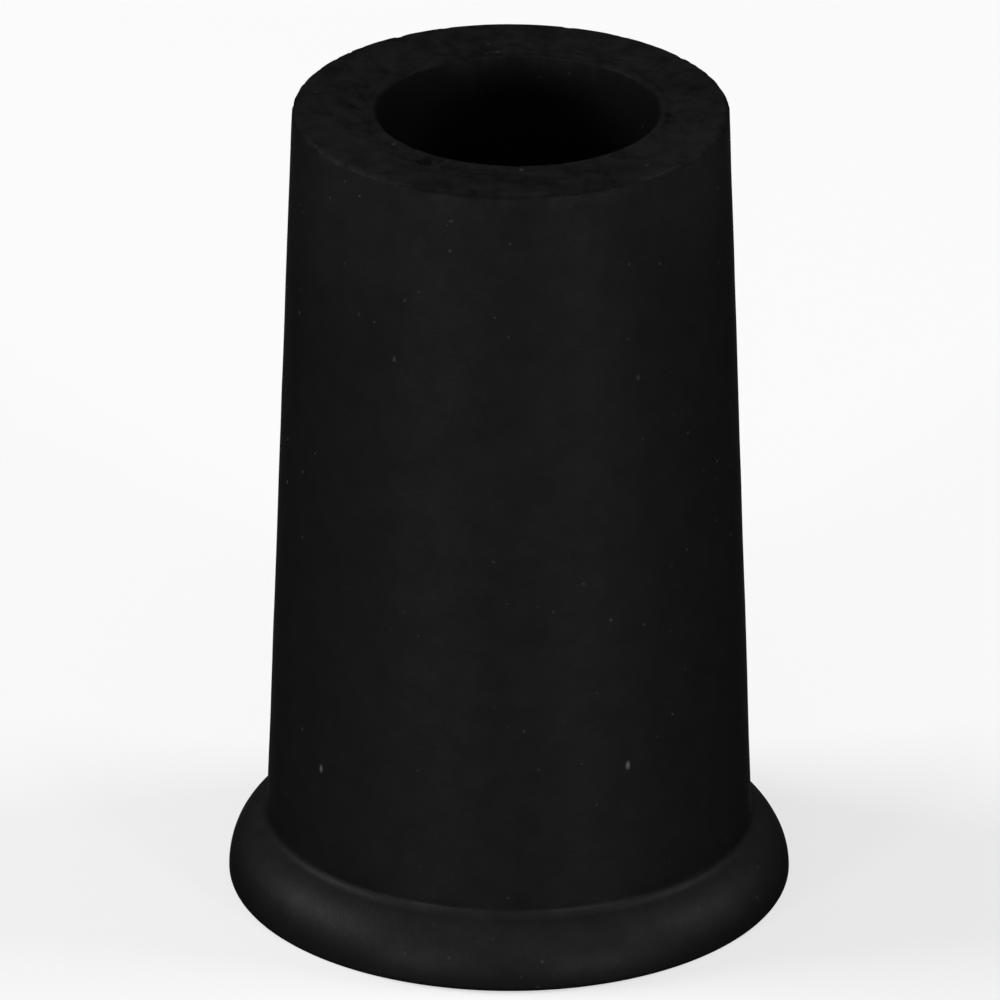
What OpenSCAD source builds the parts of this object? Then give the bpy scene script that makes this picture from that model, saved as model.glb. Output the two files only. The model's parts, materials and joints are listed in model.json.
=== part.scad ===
// Rubber cane tip: one solid moulding with a blind socket for the shaft, a tapered wall and a rounded foot.
// Origin at the centre of the sole, +Z up along the socket.

/* [Socket] */
// Diameter of the socket, line to line with the shaft it grips
socket_d = 19; // [16:0.5:22]
// Depth of the socket from the mouth to its floor
socket_depth = 42; // [30:1:50]
// Rounding of the socket's mouth
mouth_round = 0.4; // [0.2:0.1:1]
// Rounding between the socket's wall and its floor
floor_round = 1.5; // [0.5:0.25:3]
// How far the core pin sat off centre in the mould, which leaves one side of the wall thicker
core_shift = 0.5; // [0:0.1:1]

/* [Wall] */
// Thickness of the wall at the mouth, for a centred socket
mouth_wall = 5.2; // [3.5:0.1:7]
// Thickness of the rubber under the socket's floor
floor_wall = 14.9; // [9:0.1:20]
// Draft of the outside, in degrees, which lets the moulding leave the mould
draft = 2.1; // [0.5:0.1:4]
// Rounding of the outer edge at the top
rim_round = 0.4; // [0.2:0.1:1]

/* [Foot] */
// How far the foot stands out past the tapered wall, measured at the floor
foot_reach = 2.45; // [1.5:0.05:3]
// Radius of the foot's rounded shoulder
foot_round = 4.5; // [3.75:0.25:6]
// Rounding of the foot's lower edge
foot_edge = 0.5; // [0.3:0.1:1]
// Hollow blend between the wall and the foot's shoulder
foot_blend = 0.5; // [0.3:0.1:1]

/* [Sole] */
// Number of grip grooves, all round the same centre
groove_count = 3; // [1:1:4]
// Width of a groove
groove_w = 1.8; // [1:0.1:2.2]
// Depth of a groove, whose bottom is round
groove_depth = 1.2; // [0.8:0.1:2]
// Diameter of the plain pad inside the first groove
pad_d = 9; // [6:0.5:11]
// Width of the flat band outside the last groove
edge_land = 3.9; // [2.5:0.1:5]

/* [Hidden] */
$fn = 180;
rubber = "#1c1d1d";
// How far a cutting shape runs past the surface it opens
clear = 1;
// How deep the blend's arc bites into the two surfaces it joins, so that each meets it in one clean edge
bite = 0.0005;
tip_h = floor_wall + socket_depth;
socket_r = socket_d / 2;
// Unit vectors up along the tapered wall and straight out of it
wall_up = [-sin(draft), cos(draft)];
wall_out = [cos(draft), sin(draft)];

// Outer radius of the tapered wall at height z
function wall_r(z) = socket_r + mouth_wall + (tip_h - z) * tan(draft);

foot_r = wall_r(0) + foot_reach;
// Centre of the rim's rounding, which touches the wall and the top face
rim_c = [wall_r(tip_h - rim_round) - rim_round / cos(draft), tip_h - rim_round];
// Centre of the foot's shoulder
shoulder_c = [foot_r - foot_round, foot_edge];

// Centre of the hollow blend: foot_blend away from the wall and from the shoulder
function blend_centre() =
    let (
        start = [wall_r(0), 0] + (foot_blend - bite) * wall_out,
        to_shoulder = shoulder_c - start,
        along = to_shoulder * wall_up,
        across = to_shoulder * wall_out,
        span = foot_round + foot_blend - bite
    )
    start + (along + sqrt(span * span - across * across)) * wall_up;

blend_c = blend_centre();
blend_on_wall = blend_c - foot_blend * wall_out;
blend_on_shoulder = blend_c + foot_blend * (shoulder_c - blend_c) / norm(shoulder_c - blend_c);
blend_inside = [blend_on_wall[0] - foot_blend, blend_on_shoulder[1] - foot_blend];

// Half section of the tapered wall, with its rim rounded
module wall_section() {
    polygon([
        [0, 0],
        [wall_r(0), 0],
        rim_c + rim_round * wall_out,
        [rim_c[0], tip_h],
        [0, tip_h]
    ]);
    translate(rim_c)
        circle(rim_round);
}

// Half section of the foot: a quarter round over a small rounded lower edge
module foot_section() {
    translate(shoulder_c)
        intersection() {
            circle(foot_round);
            square(foot_round);
        }
    square([foot_r - foot_edge, foot_edge]);
    translate([foot_r - foot_edge, foot_edge])
        circle(foot_edge);
}

// Half section of the hollow blend that leads the wall into the foot
module blend_section() {
    difference() {
        polygon([blend_inside, blend_on_shoulder, blend_c, blend_on_wall]);
        translate(blend_c)
            circle(foot_blend);
    }
}

// Half section of the core pin that forms the socket, with a flared mouth and a rounded nose
module core_section() {
    nose_z = floor_wall + floor_round;
    translate([0, nose_z])
        square([socket_r, tip_h + clear - nose_z]);
    translate([0, floor_wall])
        square([socket_r - floor_round, floor_round]);
    translate([socket_r - floor_round, nose_z])
        circle(floor_round);
    difference() {
        translate([0, tip_h - mouth_round])
            square([socket_r + mouth_round, mouth_round + clear]);
        translate([socket_r + mouth_round, tip_h - mouth_round])
            circle(mouth_round);
    }
}

// One grip groove of the sole at radius r, with a round bottom
module groove(r) {
    rotate_extrude() {
        translate([r, groove_depth - groove_w / 2])
            circle(groove_w / 2);
        translate([r - groove_w / 2, -clear])
            square([groove_w, clear + groove_depth - groove_w / 2]);
    }
}

// All the grip grooves, spread evenly between the pad and the flat band at the edge
module grip_grooves() {
    first_r = pad_d / 2 + groove_w / 2;
    last_r = foot_r - foot_edge - edge_land - groove_w / 2;
    step = (last_r - first_r) / max(groove_count - 1, 1);
    for (i = [0 : groove_count - 1])
        groove(first_r + i * step);
}

module cane_tip() {
    color(rubber)
        difference() {
            rotate_extrude() {
                wall_section();
                foot_section();
                blend_section();
            }
            translate([core_shift, 0, 0])
                rotate_extrude()
                    core_section();
            grip_grooves();
        }
}

cane_tip();
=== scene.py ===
import json
import math

import bmesh
import bpy
from mathutils import Matrix, Vector, noise


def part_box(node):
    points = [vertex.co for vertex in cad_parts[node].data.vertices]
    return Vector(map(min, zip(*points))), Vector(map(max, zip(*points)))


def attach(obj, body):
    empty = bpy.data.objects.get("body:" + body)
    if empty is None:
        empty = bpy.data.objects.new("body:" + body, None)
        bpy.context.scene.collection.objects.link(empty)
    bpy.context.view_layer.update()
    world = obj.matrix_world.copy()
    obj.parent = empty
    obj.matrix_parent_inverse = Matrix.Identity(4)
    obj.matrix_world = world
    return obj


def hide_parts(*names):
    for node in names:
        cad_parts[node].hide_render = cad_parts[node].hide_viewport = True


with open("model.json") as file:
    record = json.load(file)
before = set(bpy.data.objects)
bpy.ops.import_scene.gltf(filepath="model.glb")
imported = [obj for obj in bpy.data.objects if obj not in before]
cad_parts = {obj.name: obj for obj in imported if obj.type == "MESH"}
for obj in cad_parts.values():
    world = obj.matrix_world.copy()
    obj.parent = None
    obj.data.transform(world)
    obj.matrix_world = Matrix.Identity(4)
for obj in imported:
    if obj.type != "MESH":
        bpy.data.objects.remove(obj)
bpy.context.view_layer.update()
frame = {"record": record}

# The tip
#
# The whole object is one moulding of black vulcanised rubber, pressed in a two-part mould over a
# core pin. The mould leaves the grooved sole, the rolled foot and the tapered wall, and the pin
# leaves the blind socket that grips the shaft. The top face is where the flash was trimmed off.
mm = 0.001
turn = 2 * math.pi
around = 336  # points round the axis, one every 0.36 mm at the foot

tip_low, tip_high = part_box("cane_tip")
mounts = {mount["name"]: mount for mount in frame["record"]["mounts"]}
socket = mounts["shaft_socket"]
tip_h = tip_high.z
foot_r = min(tip_high.x - tip_low.x, tip_high.y - tip_low.y) / 2
socket_r = socket["dims"]["r_mm"] * mm
socket_x = socket["pos_m"][0]
mouth_round = tip_h - socket["pos_m"][2]
floor_round = 1.5 * mm
socket_floor = socket["pos_m"][2] - socket["dims"]["length_mm"] * mm - floor_round


def arc(centre_r, centre_z, radius, start, end, steps):
    """Points (radius, height) along an arc of the half section, with angles in degrees."""
    points = []
    for i in range(steps + 1):
        angle = math.radians(start + (end - start) * i / steps)
        points.append((centre_r + radius * math.cos(angle), centre_z + radius * math.sin(angle)))
    return points


def straight(start, end, steps):
    """Points along a straight stretch of the half section, without its two ends."""
    return [
        (start[0] + (end[0] - start[0]) * i / steps, start[1] + (end[1] - start[1]) * i / steps)
        for i in range(1, steps)
    ]


def join(section, points, step):
    """Adds points to the section, with a straight stretch of that step before them."""
    if section:
        span = math.dist(section[-1], points[0])
        section += straight(section[-1], points[0], max(1, round(span / step)))
    section += points


# The sole: flat rubber with three round-bottomed grooves that let water out and grip the floor.
foot_edge = 0.5 * mm
groove_w = 1.8 * mm
groove_deep = 1.2 * mm
pad_r = 4.5 * mm
edge_land = 3.9 * mm
groove_lip = 0.12 * mm

outside = [(0.3 * mm, 0.0)]
last_groove = foot_r - foot_edge - edge_land - groove_w / 2
for i in range(3):
    groove_r = pad_r + groove_w / 2 + (last_groove - pad_r - groove_w / 2) * i / 2
    half = groove_w / 2
    sides = arc(groove_r, groove_deep - half, half, 180, 0, 12)
    inner_lip = [(groove_r - half - groove_lip, 0.0), (groove_r - half, groove_lip)]
    outer_lip = [(groove_r + half, groove_lip), (groove_r + half + groove_lip, 0.0)]
    join(outside, inner_lip, 0.8 * mm)
    join(outside, sides, 0.3 * mm)
    join(outside, outer_lip, 0.3 * mm)

# The foot: rolled out past the wall, with a quarter-round shoulder and a hollow blend above it.
foot_round = 4.5 * mm
foot_blend = 0.9 * mm
draft = math.radians(2.1)
mouth_wall = 5.2 * mm


def wall_r(z):
    """Outer radius of the tapered wall at height z."""
    return socket_r + mouth_wall + (tip_h - z) * math.tan(draft)


join(outside, arc(foot_r - foot_edge, foot_edge, foot_edge, -90, 0, 8), 0.8 * mm)
shoulder = Vector((foot_r - foot_round, foot_edge))
wall_up = Vector((-math.sin(draft), math.cos(draft)))
wall_out = Vector((math.cos(draft), math.sin(draft)))
start = Vector((wall_r(0), 0)) + foot_blend * wall_out
to_shoulder = shoulder - start
reach = foot_round + foot_blend
rise = to_shoulder.dot(wall_up) + math.sqrt(reach**2 - to_shoulder.dot(wall_out) ** 2)
blend = start + rise * wall_up
slope = math.degrees(math.atan2(blend.y - shoulder.y, blend.x - shoulder.x))
join(outside, arc(*shoulder, foot_round, 2, slope, 26), 0.3 * mm)
join(outside, arc(*blend, foot_blend, slope + 180, 180 + math.degrees(draft), 9)[1:], 0.3 * mm)

# The wall and the rim: the draft lets the moulding leave the mould, and the rim is barely rounded.
rim_round = 0.4 * mm
rim_r = wall_r(tip_h - rim_round) - rim_round / math.cos(draft)
rim = arc(rim_r, tip_h - rim_round, rim_round, math.degrees(draft), 90, 7)
join(outside, rim, 0.75 * mm)

# The socket: the pin's flared root rounds the mouth, and its nose rounds the floor.
mouth = arc(socket_r + mouth_round, tip_h - mouth_round, mouth_round, 90, 180, 6)
inside = list(mouth)
join(inside, arc(socket_r - floor_round, socket_floor + floor_round, floor_round, 0, -90, 8), 1.3 * mm)
join(inside, [(0.3 * mm, socket_floor)], 1.5 * mm)
top_rings = 30


# How the moulding strays from the true section: long waves all over it, and a top face that was
# torn rather than cut, with nicks at its two edges
wave_wide = 7 * mm
tear_wide = 1.2 * mm
nick_wide = 0.8 * mm
wave_high = 0.02 * mm
face_rough = 0.05 * mm
rim_rough = 0.03 * mm  # what the rim adds to the roughness of the face
rim_nick = 0.25 * mm  # a nick cuts less than this into the rim from the side
edge_nick = 0.13 * mm  # and less than this from above, at the rim and at the mouth
face_sink = 0.025 * mm
lip_sink = 0.13 * mm  # how much lower the face is just outside the mouth
foot_under = 0.008 * mm  # how far the foot stays inside its full size on average
foot_lean = 0.01  # how far the shoulder sinks towards the right, for each unit across
lean_full = 2.5 * mm
lean_fades = 9 * mm
lean_ends = 12 * mm
nick_from = 0.15  # the noise makes a nick only where it is above this
torn_from = tip_h - 1.1 * mm
torn_full = tip_h - 0.4 * mm
rim_band = 0.7 * mm
mouth_band = 0.4 * mm
lip_wide = 0.35 * mm
sink_wide = 2.4 * mm


def ramp(value, start, end):
    """How far a value has gone from start to end, kept between 0 and 1."""
    return max(0.0, min(1.0, (value - start) / (end - start)))


def unevenness(place, section_r):
    """How far the moulding strays at a place: (outwards, upwards), both in metres."""
    if place.z < foot_edge:
        return 0.0, 0.0
    wave = noise.fractal(place / wave_wide, 1.0, 2.0, 3)
    low_down = min(ramp(place.z, foot_edge, lean_full), ramp(place.z, lean_ends, lean_fades))
    lean = -foot_lean * place.x * low_down
    if section_r > wall_r(place.z) and place.z < tip_h / 2:
        return -foot_under * (1 + wave), lean
    near_top = ramp(place.z, torn_from, torn_full)
    # The sole's inner grooves and the socket don't lean.
    if near_top == 0.0:
        return wave_high * wave, lean if section_r > socket_r else 0.0
    # The offsets only pick two other stretches of the same noise.
    tear = noise.fractal(place / tear_wide + Vector((5, 1, 9)), 0.6, 2.0, 4)
    nick = max(0.0, noise.noise(place / nick_wide + Vector((2, 7, 4))) - nick_from)
    from_mouth = section_r - socket_r - mouth_round
    at_rim = ramp(abs(section_r - rim_r), rim_band, 0)
    at_mouth = ramp(abs(from_mouth), mouth_band, 0)
    # The face sinks most just outside the mouth, where the pin's flash stands up as a low lip.
    sink = min(ramp(from_mouth, 0, lip_wide), ramp(from_mouth, lip_wide + sink_wide, lip_wide))
    rough = (face_rough + rim_rough * at_rim) * tear - rim_nick * at_rim * nick
    torn_down = (face_sink + lip_sink * sink) * max(0.0, 1 + tear)
    drop = torn_down + edge_nick * (at_rim + at_mouth) * nick
    return wave_high * wave + near_top * rough, -near_top * drop


# Each ring has a radius, a height, how far its centre is off the axis, and the way that counts as
# out for it: 1 away from the axis, 0 neither way, -1 towards it.
rings = []
for r, z in outside:
    rings.append((r, z, 0.0, 1))
top_start, top_end = outside[-1], inside[0]
for i in range(1, top_rings):
    share = i / top_rings
    ring_r = top_start[0] + (top_end[0] - top_start[0]) * share
    rings.append((ring_r, tip_h, socket_x * share, 0))
for r, z in inside:
    rings.append((r, z, socket_x, -1))

# A pit in the top face, left by a bubble, and a nib of flash on the wall below the rim
pit = Vector((-5.5 * mm, -8.75 * mm, tip_h))
pit_r = 0.8 * mm
pit_deep = 0.5 * mm
nib = Vector((-14.72 * mm, -1.2 * mm, 54.6 * mm))
nib_r = 0.3 * mm
nib_high = 0.16 * mm

true_below = 40 * mm  # the pin left the socket smooth below this height

body = bmesh.new()
grid = []
for r, z, shift, side in rings:
    ring = []
    for i in range(around):
        angle = turn * i / around
        ray = Vector((math.cos(angle), math.sin(angle), 0))
        place = Vector((shift, 0, z)) + r * ray
        if z > 0.0 and not (side == -1 and z < true_below):
            out, up = unevenness(place, r)
            place += out * side * ray
            place.z += up
            dip = (place - pit).length / pit_r
            if dip < 1 and side == 0:
                place.z -= pit_deep * (1 - dip**3) ** 1.5
            lump = (place - nib).length / nib_r
            if lump < 1:
                place += nib_high * (1 - lump**2) ** 2 * ray
        ring.append(body.verts.new(place))
    grid.append(ring)
for lower, upper in zip(grid, grid[1:]):
    for i in range(around):
        j = (i + 1) % around
        body.faces.new((lower[i], lower[j], upper[j], upper[i]))
for ring, centre in ((grid[0], (0, 0, 0)), (grid[-1], (socket_x, 0, socket_floor))):
    middle = body.verts.new(centre)
    for i in range(around):
        body.faces.new((middle, ring[i], ring[(i + 1) % around]))
bmesh.ops.recalc_face_normals(body, faces=body.faces)
for face in body.faces:
    face.smooth = True
tip_mesh = bpy.data.meshes.new("rubber_tip")
body.to_mesh(tip_mesh)
body.free()
tip = bpy.data.objects.new("rubber_tip", tip_mesh)
bpy.context.scene.collection.objects.link(tip)


def linear(hex_colour):
    """An sRGB hex colour as the linear RGBA that the shader takes."""
    channels = [int(hex_colour[i : i + 2], 16) / 255 for i in (1, 3, 5)]
    return [c / 12.92 if c <= 0.04045 else ((c + 0.055) / 1.055) ** 2.4 for c in channels] + [1.0]


def add(tree, kind, sockets=None, **settings):
    """Adds a node, sets its properties, and gives each socket a value or a link."""
    made = tree.nodes.new(kind)
    for name, value in settings.items():
        setattr(made, name, value)
    for name, value in (sockets or {}).items():
        if isinstance(value, bpy.types.NodeSocket):
            tree.links.new(value, made.inputs[name])
        else:
            made.inputs[name].default_value = value
    return made


# Black vulcanised rubber, as it comes out of a finely blasted mould: the carbon in it swallows nearly
# all light, and a broad soft sheen is all that shows its form. The fine texture shades itself at a
# glancing look, so the sheen fades there, and it is a little stronger on the foot, which gets handled.
rubber = bpy.data.materials.new("moulded_black_rubber")
rubber.use_nodes = True
tree = rubber.node_tree
tree.nodes.clear()
place = add(tree, "ShaderNodeTexCoord").outputs["Object"]
height = add(tree, "ShaderNodeSeparateXYZ", {"Vector": place}).outputs["Z"]

# Bloom, sulphur and wax that rise to the surface, in soft patches about 2 mm wide
bloom_wide = 2.0 * mm
bloom = add(
    tree, "ShaderNodeTexNoise",
    {"Vector": place, "Scale": 1 / bloom_wide, "Detail": 5.0, "Roughness": 0.7},
).outputs["Fac"]
bloomed = add(
    tree, "ShaderNodeMapRange",
    {"Value": bloom, "From Min": 0.3, "From Max": 0.7, "To Min": 0.82, "To Max": 1.18},
).outputs["Result"]
# The trimmed top face is blotched, where the knife tore rather than cut
blotch_wide = 1.4 * mm
tear = add(
    tree, "ShaderNodeTexNoise",
    {"Vector": place, "Scale": 1 / blotch_wide, "Detail": 5.0, "Roughness": 0.65},
).outputs["Fac"]
torn = add(
    tree, "ShaderNodeMapRange",
    {"Value": tear, "From Min": 0.3, "From Max": 0.7, "To Min": 0.42, "To Max": 1.25},
).outputs["Result"]
on_top = add(
    tree, "ShaderNodeMapRange",
    {"Value": height, "From Min": tip_h - 0.5 * mm, "From Max": tip_h - 0.25 * mm},
).outputs["Result"]
patches_with_painted_light_and_shade = add(
    tree, "ShaderNodeMix", {"Factor": on_top, "A": bloomed, "B": torn}, data_type="FLOAT"
).outputs["Result"]

# Painted light and shade: the wall is painted paler and shinier near the mouth, towards the left and
# the right, as a painted highlight, and the pit in the top face is painted darker and duller, as
# painted shade in its hollow. Places and widths are in mm, and the gain is what is added or taken
# away.
for x, y, z, wide, gain in (
    (-12.5, -8.0, 53.5, 9.0, 0.6),
    (13.0, -7.0, 55.0, 8.0, 0.7),
    (-5.5, -8.75, 56.7, 1.1, -0.75),
):
    off = add(
        tree, "ShaderNodeVectorMath", {0: place, 1: (x * mm, y * mm, z * mm)},
        operation="SUBTRACT",
    ).outputs["Vector"]
    gone = add(tree, "ShaderNodeVectorMath", {0: off}, operation="LENGTH").outputs["Value"]
    painted_light_and_shade = add(
        tree, "ShaderNodeMapRange",
        {"Value": gone, "From Min": 0.0, "From Max": wide * mm, "To Min": gain, "To Max": 0.0},
    ).outputs["Result"]
    patches_with_painted_light_and_shade = add(
        tree, "ShaderNodeMath", {0: patches_with_painted_light_and_shade, 1: painted_light_and_shade, 2: patches_with_painted_light_and_shade}, operation="MULTIPLY_ADD"
    ).outputs["Value"]

# The socket's wall is painted a little paler: painted light that stands for light reaching down into
# the hole
from_axis = add(
    tree, "ShaderNodeVectorMath", {0: place, 1: (socket_x, 0.0, 0.0)}, operation="SUBTRACT"
).outputs["Vector"]
across = add(
    tree, "ShaderNodeVectorMath", {0: from_axis, 1: (1.0, 1.0, 0.0)}, operation="MULTIPLY"
).outputs["Vector"]
away = add(tree, "ShaderNodeVectorMath", {0: across}, operation="LENGTH").outputs["Value"]
in_socket = add(
    tree, "ShaderNodeMapRange",
    {"Value": away, "From Min": socket_r - 0.1 * mm, "From Max": socket_r + 0.2 * mm,
     "To Min": 1.0, "To Max": 0.0},
).outputs["Result"]
base_with_painted_socket_light = add(
    tree, "ShaderNodeMix",
    {"Factor": in_socket, "A": linear("#050505"), "B": linear("#0a0a0a")},
    data_type="RGBA",
).outputs["Result"]
# What faces up is painted lighter, a painted top light, and it fades quickly as the surface tilts
normal = add(tree, "ShaderNodeNewGeometry").outputs["Normal"]
upward = add(tree, "ShaderNodeSeparateXYZ", {"Vector": normal}).outputs["Z"]
level_share = add(
    tree, "ShaderNodeMath", {0: upward, 1: 0.0}, operation="MAXIMUM"
).outputs["Value"]
upward_squared = add(tree, "ShaderNodeMath", {0: level_share, 1: 2.0}, operation="POWER").outputs["Value"]
painted_top_light = add(
    tree, "ShaderNodeMath", {0: upward_squared, 1: patches_with_painted_light_and_shade}, operation="MULTIPLY", use_clamp=True
).outputs["Value"]
base_and_painted_light = add(
    tree, "ShaderNodeMix",
    {"Factor": painted_top_light, "A": base_with_painted_socket_light, "B": linear("#131313")},
    data_type="RGBA",
).outputs["Result"]

# Dust: faint specks up to 0.2 mm wide, a few on each square centimetre
speck_apart = 1.0 * mm
scatter = add(tree, "ShaderNodeTexVoronoi", {"Vector": place, "Scale": 1 / speck_apart})
chance = add(tree, "ShaderNodeSeparateColor", {"Color": scatter.outputs["Color"]}).outputs["Red"]
reach = add(
    tree, "ShaderNodeMapRange",
    {"Value": chance, "From Min": 0.5, "From Max": 1.0, "To Min": 0.0, "To Max": 0.15},
).outputs["Result"]
inside_reach = add(
    tree, "ShaderNodeMath", {0: reach, 1: scatter.outputs["Distance"]}, operation="SUBTRACT"
).outputs["Value"]
dust = add(
    tree, "ShaderNodeMapRange",
    {"Value": inside_reach, "From Min": 0.0, "From Max": 0.12, "To Min": 0.0, "To Max": 0.25},
).outputs["Result"]
# The larger specks that catch the eye: place and half size in mm, and how pale each one is
for x, y, z, half_wide, half_tall, pale in (
    (8.0, -14.15, 14.7, 0.17, 0.3, 0.85),
    (-12.75, -10.2, 12.5, 0.16, 0.28, 0.7),
    (0.7, -10.25, 56.85, 0.17, 0.19, 0.65),
    (-7.85, -5.95, 56.85, 0.18, 0.2, 0.35),
    (-15.05, -4.25, 31.15, 0.13, 0.15, 0.4),
    (-14.15, -5.4, 44.2, 0.12, 0.14, 0.3),
    (-7.75, -13.05, 44.2, 0.14, 0.2, 0.25),
    (8.55, -12.6, 42.7, 0.14, 0.2, 0.2),
    (-1.5, 11.15, 56.85, 0.15, 0.15, 0.35),
    (-0.9, 9.75, 56.85, 0.18, 0.15, 0.3),
    (9.1, -9.6, 56.85, 0.14, 0.14, 0.35),
    (2.25, -18.8, 2.2, 0.13, 0.13, 0.35),
    (6.8, -14.35, 25.6, 0.12, 0.13, 0.28),
    (-3.95, -14.25, 54.8, 0.14, 0.11, 0.22),
):
    off = add(
        tree, "ShaderNodeVectorMath", {0: place, 1: (x * mm, y * mm, z * mm)},
        operation="SUBTRACT",
    ).outputs["Vector"]
    share = (1 / (half_wide * mm), 1 / (half_wide * mm), 1 / (half_tall * mm))
    scaled = add(
        tree, "ShaderNodeVectorMath", {0: off, 1: share}, operation="MULTIPLY"
    ).outputs["Vector"]
    gone = add(tree, "ShaderNodeVectorMath", {0: scaled}, operation="LENGTH").outputs["Value"]
    speck = add(
        tree, "ShaderNodeMapRange",
        {"Value": gone, "From Min": 0.2, "From Max": 1.3, "To Min": 0.9 * pale, "To Max": 0.0},
    ).outputs["Result"]
    dust = add(tree, "ShaderNodeMath", {0: dust, 1: speck}, operation="MAXIMUM").outputs["Value"]
colour = add(
    tree, "ShaderNodeMix",
    {"Factor": dust, "A": base_and_painted_light, "B": linear("#474a48")},
    data_type="RGBA",
)

# Sheen: full where the surface faces the eye, fading as the texture shades itself, then back in a
# thin line at the very edge, and a little more on the foot
foot_sheen = 0.16
wall_sheen = 0.14
facing = add(tree, "ShaderNodeLayerWeight", {"Blend": 0.5}).outputs["Facing"]
on_foot = add(
    tree, "ShaderNodeMapRange",
    {"Value": height, "From Min": 4.4 * mm, "From Max": 5.2 * mm,
     "To Min": foot_sheen, "To Max": wall_sheen},
)
towards = add(tree, "ShaderNodeMath", {0: 1.0, 1: facing}, operation="SUBTRACT")
head_on = add(
    tree, "ShaderNodeMath", {0: towards.outputs["Value"], 1: 1.5}, operation="POWER"
).outputs["Value"]
edge_on = add(tree, "ShaderNodeMath", {0: facing, 1: 10.0}, operation="POWER").outputs["Value"]
seen = add(
    tree, "ShaderNodeMath", {0: edge_on, 1: 0.7, 2: head_on}, operation="MULTIPLY_ADD"
).outputs["Value"]
# The sheen's level takes the patches as well, so the painted highlight on the wall and the painted
# shade in the pit show in the sheen too
level = add(
    tree, "ShaderNodeMath", {0: on_foot.outputs["Result"], 1: patches_with_painted_light_and_shade}, operation="MULTIPLY"
)
# The rim's rounding is rubbed rough, so it shines less than the faces beside it
tilt = add(
    tree, "ShaderNodeMath", {0: upward_squared, 1: level_share}, operation="SUBTRACT"
).outputs["Value"]
rubbed = add(tree, "ShaderNodeMath", {0: tilt, 1: on_top}, operation="MULTIPLY").outputs["Value"]
kept = add(
    tree, "ShaderNodeMath", {0: rubbed, 1: 2.2, 2: 1.0}, operation="MULTIPLY_ADD"
).outputs["Value"]
# The foot's lower edge is worn matt by the floor
worn_sheen = 0.75  # what wear has left of the sheen at the edge
worn = add(
    tree, "ShaderNodeMapRange",
    {"Value": height, "From Min": 1.0 * mm, "From Max": 3.2 * mm,
     "To Min": worn_sheen, "To Max": 1.0},
).outputs["Result"]
unworn = add(tree, "ShaderNodeMath", {0: kept, 1: worn}, operation="MULTIPLY").outputs["Value"]
shine = add(
    tree, "ShaderNodeMath", {0: level.outputs["Value"], 1: unworn}, operation="MULTIPLY"
).outputs["Value"]
sheen = add(tree, "ShaderNodeMath", {0: seen, 1: shine}, operation="MULTIPLY")
matt = add(
    tree, "ShaderNodeMapRange",
    {"Value": bloom, "From Min": 0.3, "From Max": 0.7, "To Min": 0.56, "To Max": 0.66},
)

# Grain of the blasted mould: the real grit is about 0.1 mm, drawn at twice that so that it shows
grain_wide = 0.2 * mm
grain = add(
    tree, "ShaderNodeTexNoise",
    {"Vector": place, "Scale": 1 / grain_wide, "Detail": 2.0, "Roughness": 0.6},
)
relief = add(
    tree, "ShaderNodeBump",
    {"Height": grain.outputs["Fac"], "Distance": grain_wide / 10, "Strength": 1.0},
)
shader = add(
    tree, "ShaderNodeBsdfPrincipled",
    {
        "Base Color": colour.outputs["Result"],
        "Roughness": matt.outputs["Result"],
        "Specular IOR Level": 0.0,
        "Coat Weight": sheen.outputs["Value"],
        "Coat Roughness": 0.5,
        "Coat IOR": 1.5,
        "Normal": relief.outputs["Normal"],
        "Coat Normal": relief.outputs["Normal"],
    },
)
add(tree, "ShaderNodeOutputMaterial", {"Surface": shader.outputs["BSDF"]})
tip_mesh.materials.append(rubber)
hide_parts("cane_tip")
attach(tip, "root")

# The floor
#
# A sheet of matt white board, wide enough to fill the view from every side. Part of what is seen of
# it is plain white, and the rest takes the light, so that it keeps the soft shadow round the foot.
floor_half = 6.0
floor_top = -0.02 * mm  # just clear of the sole, so that the two don't share a plane


def seen_white(tree, plain_shader, white_shader, share):
    """Mixes that share of a white shader in where the camera, a gloss or a glass sees the surface."""
    path = add(tree, "ShaderNodeLightPath")
    seen = path.outputs["Is Camera Ray"]
    for ray in ("Is Glossy Ray", "Is Transmission Ray"):
        seen = add(
            tree, "ShaderNodeMath", {0: seen, 1: path.outputs[ray]}, operation="MAXIMUM"
        ).outputs["Value"]
    part = add(tree, "ShaderNodeMath", {0: seen, 1: share}, operation="MULTIPLY")
    mixed = add(
        tree, "ShaderNodeMixShader",
        {0: part.outputs["Value"], 1: plain_shader.outputs[0], 2: white_shader.outputs[0]},
    )
    return mixed.outputs["Shader"]


floor_mesh = bpy.data.meshes.new("floor")
corners = [
    (x * floor_half, y * floor_half, floor_top) for x, y in ((-1, -1), (1, -1), (1, 1), (-1, 1))
]
floor_mesh.from_pydata(corners, [], [(0, 1, 2, 3)])
floor = bpy.data.objects.new("floor", floor_mesh)
bpy.context.scene.collection.objects.link(floor)
board = bpy.data.materials.new("matt_white_board")
board.use_nodes = True
tree = board.node_tree
tree.nodes.clear()
paper = add(tree, "ShaderNodeBsdfDiffuse", {"Color": linear("#fbfbfb")})
plain = add(tree, "ShaderNodeEmission", {"Color": linear("#ffffff"), "Strength": 1.0})
add(tree, "ShaderNodeOutputMaterial", {"Surface": seen_white(tree, paper, plain, 0.6)})
floor_mesh.materials.append(board)

# The light
#
# Softboxes round the object: one strong on the left, a weaker one on the right, two small ones low
# in front, and a large dim one above them. Azimuth is from the camera's side towards the right.
middle = Vector((0, 0, 0.03))


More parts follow.
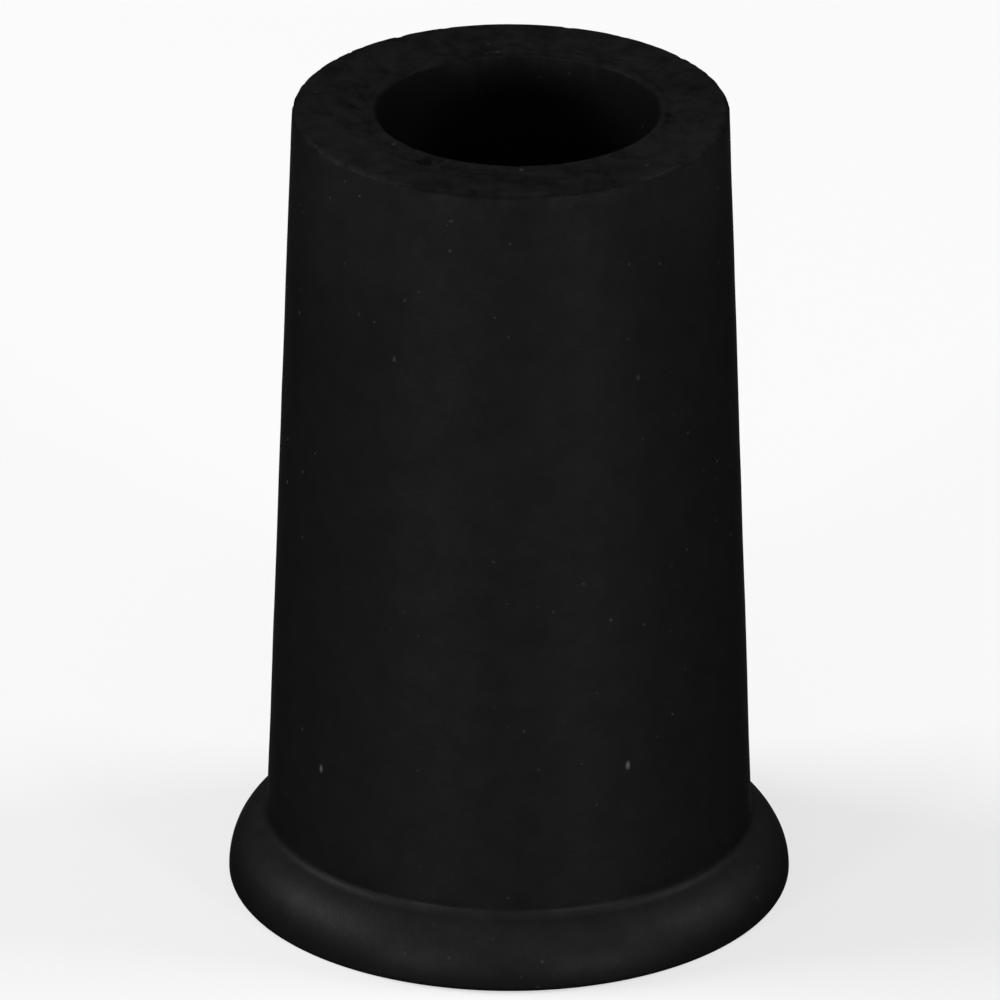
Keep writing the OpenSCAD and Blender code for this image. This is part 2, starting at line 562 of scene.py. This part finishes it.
def softbox(name, azimuth, elevation, distance, width, height, level):
    """A soft lamp that lights a surface facing it to that level, where 1 renders white as white."""
    across, up = math.radians(azimuth), math.radians(elevation)
    away = Vector((math.sin(across) * math.cos(up), -math.cos(across) * math.cos(up), math.sin(up)))
    lamp = bpy.data.lights.new(name, "AREA")
    lamp.shape = "RECTANGLE"
    lamp.size, lamp.size_y = width, height
    lamp.energy = level * math.pi**2 * distance**2
    holder = bpy.data.objects.new(name, lamp)
    holder.location = middle + distance * away
    holder.rotation_euler = away.to_track_quat("Z", "Y").to_euler()
    bpy.context.scene.collection.objects.link(holder)
    return holder


softbox("left_softbox", -94, 22, 2.0, 1.1, 0.7, 1.12)
softbox("right_softbox", 92, 26, 2.0, 0.9, 0.7, 0.6)
softbox("front_left_softbox", -35, 5, 2.0, 0.3, 0.4, 0.52)
softbox("front_right_softbox", 35, 5, 2.0, 0.3, 0.4, 0.52)
softbox("high_front_softbox", 0, 55, 2.0, 1.6, 0.8, 0.06)

world = bpy.data.worlds.new("studio")
bpy.context.scene.world = world
world.use_nodes = True
tree = world.node_tree
tree.nodes.clear()
fill = add(tree, "ShaderNodeBackground", {"Color": linear("#ffffff"), "Strength": 0.15})
white = add(tree, "ShaderNodeBackground", {"Color": linear("#ffffff"), "Strength": 1.0})
add(tree, "ShaderNodeOutputWorld", {"Surface": seen_white(tree, fill, white, 1.0)})

# The camera
#
# A metre off with a long lens, looking down at the tip, as the photograph was taken. It is rolled by
# a tenth of a degree, as the photograph is.
camera_far = 1.05
camera_high = math.radians(24.72)
camera_roll = math.radians(0.112)
aim = Vector((-0.67 * mm, 0, 27.87 * mm))
lens = bpy.data.cameras.new("camera")
lens.sensor_width = 36.0
lens.lens = 556.3
lens.clip_start, lens.clip_end = 0.05, 30.0
camera = bpy.data.objects.new("camera", lens)
back = Vector((0, -math.cos(camera_high), math.sin(camera_high)))
turned = back.to_track_quat("Z", "Y").to_matrix().to_4x4() @ Matrix.Rotation(camera_roll, 4, "Z")
camera.matrix_world = Matrix.Translation(aim + camera_far * back) @ turned
bpy.context.scene.collection.objects.link(camera)
bpy.context.scene.camera = camera
bpy.context.scene.view_settings.view_transform = "Standard"
